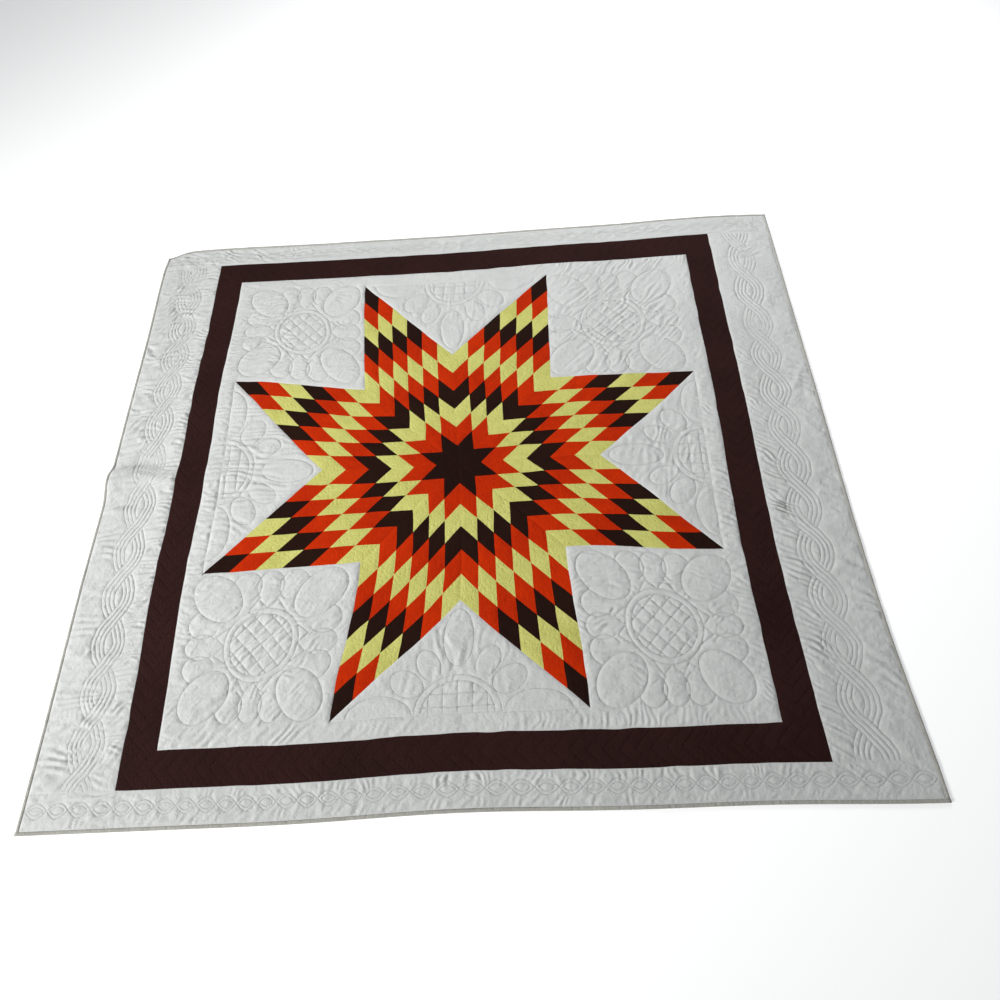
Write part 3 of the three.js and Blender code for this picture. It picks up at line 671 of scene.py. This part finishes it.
# Three small petals a side, the outer two a little wider, and how far round each is sewn in degrees
SIDE_PETAL = {"distance": 166, "spacing": 63, "length": 44, "width": 35, "wider": 4}
MIDDLE_ROUND, OUTER_ROUND = 140, 150
# Straight leaves between hub and side petals: tip and foot, each outwards and sideways
LEAF_TIP, LEAF_FOOT = (128, 26), (90, 52)
ARC_POINTS = 121
FEWEST_STITCHES = 4


def spaced(points):
    """Points a stitch step apart along a polyline."""
    points = np.asarray(points, float)
    length = np.concatenate([[0], np.cumsum(np.hypot(*np.diff(points, axis=0).T))])
    count = max(2, int(length[-1] / STITCH_STEP) + 1)
    at = np.linspace(0, length[-1], count)
    return np.stack([np.interp(at, length, points[:, 0]), np.interp(at, length, points[:, 1])], 1)


def arc(center, length, width, turn, start=0.0, stop=360.0):
    """Stitches along part of an oval, with angles in degrees from its long axis."""
    a = np.radians(np.linspace(start, stop, ARC_POINTS))
    u, v = length * np.cos(a), width * np.sin(a)
    x = center[0] + u * math.cos(turn) - v * math.sin(turn)
    y = center[1] + u * math.sin(turn) + v * math.cos(turn)
    return spaced(np.stack([x, y], 1))


def outside(line, center, length, width, turn):
    """The stretches of a line that lie outside an oval."""
    dx, dy = line[:, 0] - center[0], line[:, 1] - center[1]
    u = (dx * math.cos(turn) + dy * math.sin(turn)) / length
    v = (dy * math.cos(turn) - dx * math.sin(turn)) / width
    keep = u * u + v * v > 1
    return [line[start:stop] for start, stop in runs_of(keep)]


def runs_of(keep):
    """Start and stop of each run of true values more than a few stitches long."""
    edges = np.flatnonzero(np.diff(np.concatenate([[0], keep.astype(int), [0]])))
    return [(a, b) for a, b in zip(edges[::2], edges[1::2]) if b - a > FEWEST_STITCHES]


def hatch(center, radius, pitch, turn):
    """Straight lines both ways across a round middle."""
    lines = []
    for way in (turn, turn + math.pi / 2):
        for k in range(-int(radius / pitch), int(radius / pitch) + 1):
            off = k * pitch
            half = math.sqrt(radius ** 2 - off ** 2)
            ends = [(center[0] + off * math.cos(way) - s * half * math.sin(way),
                     center[1] + off * math.sin(way) + s * half * math.cos(way)) for s in (-1, 1)]
            lines.append(spaced(ends))
    return lines


def flower(center):
    """Quilting lines of a corner square's flower."""
    lines = [arc(center, HUB_OUTER, HUB_OUTER, 0), arc(center, HUB_INNER, HUB_INNER, 0)]
    lines += hatch(center, HUB_INNER, HATCH_PITCH, math.pi / 4)
    for k in range(4):
        side, corner = k * math.pi / 2, k * math.pi / 2 + math.pi / 4

        def place(distance, sideways, angle):
            return (center[0] + distance * math.cos(angle) - sideways * math.sin(angle),
                    center[1] + distance * math.sin(angle) + sideways * math.cos(angle))

        petal = place(PETAL["distance"], 0, corner)
        lines.append(arc(petal, PETAL["length"], PETAL["width"], corner))
        middle = place(SIDE_PETAL["distance"], 0, side)
        lines.append(arc(middle, SIDE_PETAL["length"], SIDE_PETAL["width"], side,
                         -MIDDLE_ROUND, MIDDLE_ROUND))
        for sign in (-1, 1):
            lobe = place(SIDE_PETAL["distance"], sign * SIDE_PETAL["spacing"], side)
            line = arc(lobe, SIDE_PETAL["length"], SIDE_PETAL["width"] + SIDE_PETAL["wider"], side,
                       -OUTER_ROUND, OUTER_ROUND)
            next_turn = side + sign * math.pi / 4
            next_petal = place(PETAL["distance"], 0, next_turn)
            lines += outside(line, next_petal, PETAL["length"], PETAL["width"], next_turn)
            tip = place(LEAF_TIP[0], sign * LEAF_TIP[1], side)
            lines.append(spaced([place(HUB_OUTER, 0, side), tip]))
            lines.append(spaced([place(LEAF_FOOT[0], sign * LEAF_FOOT[1], side), tip]))
    return lines


# Middle of each flower off the middle of its square, since it was marked by eye
FLOWER_SHIFT = ((-10, -2), (-8, 15), (-21, 0), (14, -9))
SQUARE_CELLS = 144
WHITE_LOFT = 3.2
WHITE_REACH = 6
flowers = []
for index, (sign_x, sign_y) in enumerate(((1, 1), (-1, 1), (-1, -1), (1, -1))):
    middle = (sign_x * (TRIANGLE_HALF + ARM_SIDE / 2), sign_y * (TRIANGLE_HALF + ARM_SIDE / 2))
    square = cloth_grid(SQUARE_CELLS, SQUARE_CELLS)
    bmesh.ops.scale(square, vec=(ARM_SIDE, ARM_SIDE, 1), verts=square.verts)
    bmesh.ops.translate(square, vec=(middle[0] - ARM_SIDE / 2, middle[1] - ARM_SIDE / 2, 0),
                        verts=square.verts)

    def square_seams(x, y):
        return np.minimum(sign_x * x, sign_y * y) - TRIANGLE_HALF

    shift_x, shift_y = FLOWER_SHIFT[index]
    flowers += flower((middle[0] + shift_x, middle[1] + shift_y))
    quilted_piece(f"corner_square_{index + 1}", square, flowers, ARM_SIDE / SQUARE_CELLS,
                  square_seams, WHITE_LOFT, WHITE_REACH, ripples,
                  [white_cotton, back_cotton])


# Side triangles
# White cotton, with half of a like flower: the middle lies on the long side, one large petal
# points at the star and two lie along the long side.

HALF_HUB = (100, 84)
POINT_PETAL = {"distance": 202, "length": 78, "width": 38}
FLANK_PETAL = {"along": 186, "length": 80, "width": 55}
FLANK_BUD = {"inward": 84, "along": 122, "length": 46, "width": 32, "lean": 0.9}
FLANK_LOBE = {"inward": 132, "along": 72, "length": 44, "width": 28, "lean": 0.45}
# How far round the half hub and the half petals are sewn in degrees, so they stop short of the seam
HUB_ROUND, FLANK_ROUND = 88, 86
SEAM_GAP = 2


def half_flower(turn):
    """Quilting lines of a side triangle, with its long side at the given turn."""
    def place(inward, along):
        x, y = STAR_HALF - inward, along
        return (x * math.cos(turn) - y * math.sin(turn), x * math.sin(turn) + y * math.cos(turn))

    inward = turn + math.pi
    middle = place(0, 0)
    lines = []
    for radius in HALF_HUB:
        lines.append(arc(middle, radius, radius, inward, -HUB_ROUND, HUB_ROUND))
    petal = place(POINT_PETAL["distance"], 0)
    lines.append(arc(petal, POINT_PETAL["length"], POINT_PETAL["width"], inward))
    for off in (k * HATCH_PITCH for k in range(-2, 3)):
        reach = math.sqrt(HALF_HUB[1] ** 2 - off ** 2)
        lines.append(spaced([place(SEAM_GAP, off), place(reach, off)]))
    for deep in (0.5 * HATCH_PITCH, 1.5 * HATCH_PITCH):
        reach = math.sqrt(HALF_HUB[1] ** 2 - deep ** 2)
        lines.append(spaced([place(deep, -reach), place(deep, reach)]))
    for sign in (-1, 1):
        flank = place(0, sign * FLANK_PETAL["along"])
        lines.append(arc(flank, FLANK_PETAL["width"], FLANK_PETAL["length"], inward,
                         -FLANK_ROUND, FLANK_ROUND))
        bud = place(FLANK_BUD["inward"], sign * FLANK_BUD["along"])
        bud_turn = inward - sign * FLANK_BUD["lean"]
        line = arc(bud, FLANK_BUD["length"], FLANK_BUD["width"], bud_turn)
        lines += outside(line, flank, FLANK_PETAL["width"], FLANK_PETAL["length"], inward)
        lobe = place(FLANK_LOBE["inward"], sign * FLANK_LOBE["along"])
        lobe_turn = inward - sign * FLANK_LOBE["lean"]
        line = arc(lobe, FLANK_LOBE["length"], FLANK_LOBE["width"], lobe_turn, -MIDDLE_ROUND, MIDDLE_ROUND)
        for stretch in outside(line, petal, POINT_PETAL["length"], POINT_PETAL["width"], inward):
            lines += outside(stretch, bud, FLANK_BUD["length"], FLANK_BUD["width"], bud_turn)
    return lines


TRIANGLE_CELLS = 96
# The near triangle is the last, and its quilting has been pressed flatter
TRIANGLE_LOFT = (WHITE_LOFT, WHITE_LOFT, WHITE_LOFT, 1.9)
for index in range(4):
    turn = index * math.pi / 2
    facing = Matrix.Rotation(turn, 4, "Z")
    triangle = cloth_grid(TRIANGLE_CELLS, 2 * TRIANGLE_CELLS)
    bmesh.ops.scale(triangle, vec=(TRIANGLE_HALF, 2 * TRIANGLE_HALF, 1), verts=triangle.verts)
    bmesh.ops.translate(triangle, vec=(STAR_HALF - TRIANGLE_HALF, -TRIANGLE_HALF, 0), verts=triangle.verts)
    for sign in (-1, 1):
        bmesh.ops.bisect_plane(
            triangle, geom=triangle.verts[:] + triangle.edges[:] + triangle.faces[:], dist=1e-3,
            plane_co=(STAR_HALF - TRIANGLE_HALF, 0, 0), plane_no=(-1, sign, 0), clear_outer=True)
    bmesh.ops.transform(triangle, matrix=facing, verts=triangle.verts)

    def triangle_seams(x, y):
        out = x * math.cos(turn) + y * math.sin(turn)
        side = np.abs(y * math.cos(turn) - x * math.sin(turn))
        slant = (out - (STAR_HALF - TRIANGLE_HALF) - side) / math.sqrt(2)
        return np.minimum(STAR_HALF - out, slant)

    quilted_piece(f"side_triangle_{index + 1}", triangle, half_flower(turn),
                  TRIANGLE_HALF / TRIANGLE_CELLS, triangle_seams, TRIANGLE_LOFT[index], WHITE_REACH,
                  ripples, [white_cotton, back_cotton])


# White strips and brown band
# Four plain white strips frame the star's square, and four dark brown ones frame those. The side
# strips are sewn on first, so the level ones run past their ends.

brown_cotton = cotton("brown band cotton", (0.030, 0.011, 0.010), (0.021, 0.008, 0.007),
                      crumple=0.4, sheen=0.0, gloss=0.06)


def strip_boxes(inner, outer_x, outer_y):
    """Corner to corner boxes of four strips around a square, by side."""
    return {"left": (-outer_x, -inner, -inner, inner), "right": (inner, outer_x, -inner, inner),
            "near": (-outer_x, outer_x, -outer_y, -inner), "far": (-outer_x, outer_x, inner, outer_y)}


def sewn_strip(name, box, lines, cell, loft, reach, puckers, materials,
               seams=None):
    """A straight strip of cloth in a box."""
    x0, x1, y0, y1 = box
    strip = cloth_grid(round((x1 - x0) / cell), round((y1 - y0) / cell))
    bmesh.ops.scale(strip, vec=(x1 - x0, y1 - y0, 1), verts=strip.verts)
    bmesh.ops.translate(strip, vec=(x0, y0, 0), verts=strip.verts)

    def all_round(x, y):
        return np.minimum(np.minimum(x - x0, x1 - x), np.minimum(y - y0, y1 - y))

    return quilted_piece(name, strip, lines, cell, seams or all_round, loft, reach, puckers,
                         materials)


CHEVRON_PITCH = 40
CHEVRON_START = 4
LINE_MARGIN = 3


def chevrons(side, box):
    """Nested Vs that fill a brown strip, pointing along it."""
    x0, x1, y0, y1 = box
    upright = side in ("left", "right")
    low, high, start, stop = (x0, x1, y0, y1) if upright else (y0, y1, x0, x1)
    middle, half = (low + high) / 2, (high - low) / 2 - LINE_MARGIN
    lines = []
    for k in range(int((stop - start) / CHEVRON_PITCH)):
        tip = start + CHEVRON_START + k * CHEVRON_PITCH
        arm_end = min(tip + half, stop - LINE_MARGIN)
        ends = [(middle - half, arm_end), (middle, tip), (middle + half, arm_end)]
        lines.append(spaced([(a, b) if upright else (b, a) for a, b in ends]))
    return lines


STRIP_CELL = 3.2


def strip_seams(x, y):
    """Distance to the seams that show: those along the triangles and the brown band."""
    out, aside = np.maximum(np.abs(x), np.abs(y)), np.minimum(np.abs(x), np.abs(y))
    by_triangle = np.where(aside < TRIANGLE_HALF, out - STAR_HALF, ARM_SIDE)
    return np.minimum(by_triangle, WHITE_HALF - out)


for side, box in strip_boxes(STAR_HALF, WHITE_HALF, WHITE_HALF).items():
    sewn_strip(f"white_strip_{side}", box, flowers, STRIP_CELL, WHITE_LOFT, WHITE_REACH, ripples,
               [white_cotton, back_cotton], seams=strip_seams)

BAND_CELL = 3.6
BAND_LOFT = 0.8
BAND_REACH = 7


def band_puckers(x, y):
    """Height of the brown band's puckers at a laid point."""
    return 0.5 * swell(x, y, 26, 12, 30, seed=31) + 0.5 * swell(x, y, 90, 60, 10, seed=32)


for side, box in strip_boxes(WHITE_HALF, BROWN_HALF, BROWN_HALF).items():
    sewn_strip(f"brown_band_{side}", box, chevrons(side, box), BAND_CELL, BAND_LOFT, BAND_REACH,
               band_puckers, [brown_cotton, back_cotton])


# Outer border
# White cotton, wide at the sides and narrow at the ends. The sides are quilted with a cable of two
# crossing strands, each of four lines, and the ends with a chain of double ovals.

# The cable's middle off the brown band, its swing, from one crossing to the next, and between lines;
# then the first crossing at the left and at the right
CABLE = {"from_brown": 100, "swing": 31, "crossing": 135.2, "line_gap": 12, "left": 42, "right": -62}
CABLE_END = 4
CABLE_WANDER = 2.2
CABLE_STRAND_HALF = 1.8
CHAIN = {"from_brown": 39, "periods": 40, "outer": 17.5, "inner": 9}
BINDING_WIDTH = 9


def cable_lines(side):
    """Quilting lines of one side border's cable."""
    sign = -1 if side == "left" else 1
    x = sign * (BROWN_HALF + CABLE["from_brown"])
    y = np.arange(-BROWN_HALF + CABLE_END, BROWN_HALF - CABLE_END, STITCH_STEP)
    turns = (y + BROWN_HALF - CABLE[side]) / CABLE["crossing"] * math.pi
    slope = CABLE["swing"] * math.pi / CABLE["crossing"] * np.cos(turns)
    lean = np.hypot(1, slope)
    lines = []
    for strand in (-1, 1):
        for k in (-1.5, -0.5, 0.5, 1.5):
            off = k * CABLE["line_gap"]
            line_x = x + strand * CABLE["swing"] * np.sin(turns) + off / lean
            line_y = y - off * strand * slope / lean
            line_x = line_x + CABLE_WANDER * swell(line_x, line_y, 34, 24, 0, seed=61 + strand)
            at = (line_y + BROWN_HALF - CABLE[side]) / CABLE["crossing"] * math.pi
            other = x - strand * CABLE["swing"] * np.sin(at)
            apart = np.abs(line_x - other) / lean
            hidden = (sign * strand * np.cos(at) > 0) & (apart < CABLE_STRAND_HALF * CABLE["line_gap"])
            kept = ~hidden & (np.abs(line_y) < BROWN_HALF - LINE_MARGIN)
            line = np.stack([line_x, line_y], 1)
            lines += [spaced(line[start:stop]) for start, stop in runs_of(kept)]
    return lines


def chain_lines(side):
    """Quilting lines of one end border's chain."""
    sign = -1 if side == "near" else 1
    y = sign * (BROWN_HALF + CHAIN["from_brown"])
    reach = QUILT_HALF_X - BINDING_WIDTH - LINE_MARGIN
    period = 2 * reach / CHAIN["periods"]
    x = np.arange(-reach, reach, STITCH_STEP)
    wave = np.sin((x + reach) / period * math.pi)
    lines = [spaced(np.stack([x, y + bow * CHAIN["outer"] * wave], 1)) for bow in (-1, 1)]
    inner = CHAIN["outer"] * np.abs(wave) - (CHAIN["outer"] - CHAIN["inner"])
    for start, stop in runs_of(inner > 0):
        for bow in (-1, 1):
            lines.append(spaced(np.stack([x, y + bow * inner], 1)[start:stop]))
    return lines


BORDER_CELL = 2.8
BORDER_LOFT = 2.5
border_boxes = strip_boxes(BROWN_HALF, QUILT_HALF_X - BINDING_WIDTH, QUILT_HALF_Y - BINDING_WIDTH)
for side, box in border_boxes.items():
    lines = cable_lines(side) if side in ("left", "right") else chain_lines(side)
    sewn_strip(
        f"outer_border_{side}", box, lines, BORDER_CELL, BORDER_LOFT, WHITE_REACH, ripples,
        [white_cotton, back_cotton])


# Binding
# A narrow strip of cream cotton folded over the raw edge all round and stitched down by hand. The
# end strips run the whole width, and the side strips butt against them.

BINDING_THICK = 5.6
BINDING_SIDES = 12
BINDING_STEP = 8
# How far the round tube is squared, how unevenly it is filled, and the round of its grain
BINDING_SQUARED = 0.55
BINDING_UNEVEN = 0.10
BINDING_GIRTH = 3
cream_cotton = cotton("cream binding cotton", (0.42, 0.41, 0.37), (0.34, 0.33, 0.30), crumple=0.5)

for side in ("left", "right", "near", "far"):
    level = side in ("near", "far")
    sign = 1 if side in ("right", "far") else -1
    edge = QUILT_HALF_Y if level else QUILT_HALF_X
    reach = QUILT_HALF_X if level else QUILT_HALF_Y - BINDING_WIDTH
    tube = bmesh.new()
    bmesh.ops.create_cone(tube, segments=BINDING_SIDES, radius1=0.5, radius2=0.5, depth=1, cap_ends=True)
    runs = [e for e in tube.edges if abs(e.verts[0].co.z - e.verts[1].co.z) > 0.5]
    bmesh.ops.subdivide_edges(tube, edges=runs, cuts=round(2 * reach / BINDING_STEP), use_grid_fill=True)
    mesh = bpy.data.meshes.new(f"binding_{side}")
    tube.to_mesh(mesh)
    tube.free()
    co = np.empty(len(mesh.vertices) * 3, np.float32)
    mesh.vertices.foreach_get("co", co)
    co = co.reshape(-1, 3).astype(float)
    run = co[:, 2] * 2 * reach
    squarer = 1 / np.maximum(np.abs(co[:, 0]), np.abs(co[:, 1])) * 0.5
    swollen = 1 + (squarer - 1) * BINDING_SQUARED
    plump = 1 + BINDING_UNEVEN * swell(run, run * 0, 24, 10, 0, seed=51 + sign)
    out = edge - BINDING_WIDTH / 2 + co[:, 0] * swollen * BINDING_WIDTH
    flat_x, flat_y = (run, sign * out) if level else (sign * out, run)
    z = (co[:, 1] * swollen + 0.5) * BINDING_THICK * plump
    laid_x, laid_y = wavered(*pulled(flat_x, flat_y))
    laid = np.stack([laid_x - MIDDLE_X, laid_y - MIDDLE_Y, z + underside(flat_x, flat_y)], 1) / MM
    mesh.vertices.foreach_set("co", laid.astype(np.float32).ravel())
    repair = bmesh.new()
    repair.from_mesh(mesh)
    bmesh.ops.recalc_face_normals(repair, faces=repair.faces)
    repair.to_mesh(mesh)
    repair.free()
    corner = np.empty(len(mesh.loops), np.int32)
    mesh.loops.foreach_get("vertex_index", corner)
    girth = np.arctan2(co[:, 1], co[:, 0]) * BINDING_GIRTH
    uv = np.stack([run[corner], girth[corner]], 1) / MM
    mesh.uv_layers.new(name="grain").data.foreach_set("uv", uv.astype(np.float32).ravel())
    far_off = np.full(len(mesh.vertices), STITCH_NONE, np.float32)
    mesh.attributes.new("stitch_distance", "FLOAT", "POINT").data.foreach_set("value", far_off)
    mesh.materials.append(cream_cotton)
    mesh.shade_smooth()
    piece = bpy.data.objects.new(f"folded_binding_{side}", mesh)
    bpy.context.collection.objects.link(piece)
    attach(piece, "root")
    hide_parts(f"binding_{side}")


# Floor, light and camera
# A pale floor under broad soft light, most of it low from the near left so that the quilting shows,
# seen from standing height over the near edge.

FLOOR_HALF = 8
floor_grid = bmesh.new()
bmesh.ops.create_grid(floor_grid, x_segments=4, y_segments=4, size=FLOOR_HALF)
floor_mesh = bpy.data.meshes.new("floor")
floor_grid.to_mesh(floor_mesh)
floor_grid.free()
floor = bpy.data.objects.new("floor", floor_mesh)
bpy.context.collection.objects.link(floor)
floor_paint = bpy.data.materials.new("pale floor")
floor_paint.use_nodes = True
floor_shader = floor_paint.node_tree.nodes["Principled BSDF"]
floor_shader.inputs["Base Color"].default_value = (0.95, 0.95, 0.95, 1)
floor_shader.inputs["Roughness"].default_value = 0.9
floor_shader.inputs["Emission Color"].default_value = (1, 1, 1, 1)
floor_shader.inputs["Emission Strength"].default_value = 0.3
floor_mesh.materials.append(floor_paint)

world = bpy.data.worlds.new("soft room")
world.use_nodes = True
world.node_tree.nodes["Background"].inputs["Color"].default_value = (0.95, 0.98, 1.0, 1)
world.node_tree.nodes["Background"].inputs["Strength"].default_value = 0.27
bpy.context.scene.world = world


def window(name, place, aim, size, power, color, spread):
    """A broad soft light, its beam so many degrees wide."""
    light = bpy.data.lights.new(name, "AREA")
    light.shape = "RECTANGLE"
    light.size, light.size_y = size
    light.energy = power
    light.color = color
    light.spread = math.radians(spread)
    lamp = bpy.data.objects.new(name, light)
    lamp.location = place
    lamp.rotation_euler = (Vector(aim) - Vector(place)).to_track_quat("-Z", "Y").to_euler()
    bpy.context.collection.objects.link(lamp)


window("near left window", place=(-4.4, -2.2, 2.7), aim=(0.1, 0.5, 0), size=(1.8, 1.3), power=63,
       color=(1.0, 0.998, 0.985), spread=70)
window("far window", place=(1.0, 2.6, 1.6), aim=(0.3, 0, 0), size=(1.6, 1.0), power=43,
       color=(0.97, 0.99, 1.0), spread=180)

CAMERA_PLACE = Vector((0.1344, -0.9704, 1.6950))
CAMERA_AIM = Vector((0.0935, -0.1333, 0.0))
CAMERA_ROLL = -5.756
camera_data = bpy.data.cameras.new("camera")
camera_data.sensor_width = 36
camera_data.lens = 22.985
camera_data.dof.use_dof = False
camera_data.clip_start = 0.05
camera = bpy.data.objects.new("camera", camera_data)
camera.location = CAMERA_PLACE
level_view = (CAMERA_AIM - CAMERA_PLACE).to_track_quat("-Z", "Y").to_matrix().to_4x4()
camera.rotation_euler = (level_view @ Matrix.Rotation(math.radians(CAMERA_ROLL), 4, "Z")).to_euler()
bpy.context.collection.objects.link(camera)
bpy.context.scene.camera = camera
bpy.context.scene.view_settings.view_transform = "Standard"
